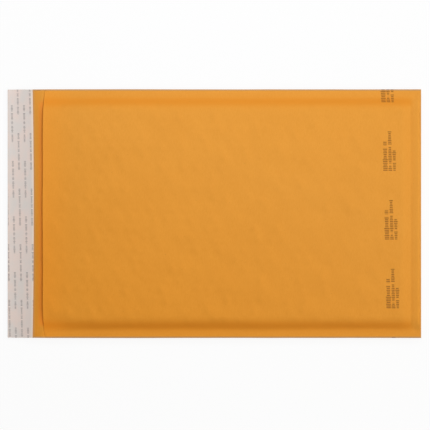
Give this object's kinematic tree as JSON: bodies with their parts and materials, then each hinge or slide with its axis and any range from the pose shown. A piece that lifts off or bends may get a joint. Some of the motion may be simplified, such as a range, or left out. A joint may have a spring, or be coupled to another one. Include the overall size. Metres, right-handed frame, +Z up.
{
  "type": "padded envelope",
  "caption": "Kraft paper envelope lined with bubble film, sealed down both sides, with an open self-seal flap still under its release liner.",
  "frame": {"origin": "under the middle of the envelope, on the surface it lies on", "axes": "+X from the open flap to the folded bottom, +Y from side seam to side seam, +Z up out of the front panel"},
  "size_m": [0.368, 0.221, 0.0108],
  "materials": {
    "kraft_paper": "matt golden-brown kraft paper",
    "bubble_film": "thin clear polyethylene film, slightly milky",
    "hot_melt": "tacky pale amber adhesive, glossy",
    "liner_paper": "silicone-coated pale grey-pink paper with a low sheen"
  },
  "bodies": {
    "root": {"kraft_sleeve": "kraft_paper", "bubble_lining": "bubble_film", "adhesive_strip": "hot_melt", "release_liner": "liner_paper"}
  },
  "joints": []
}
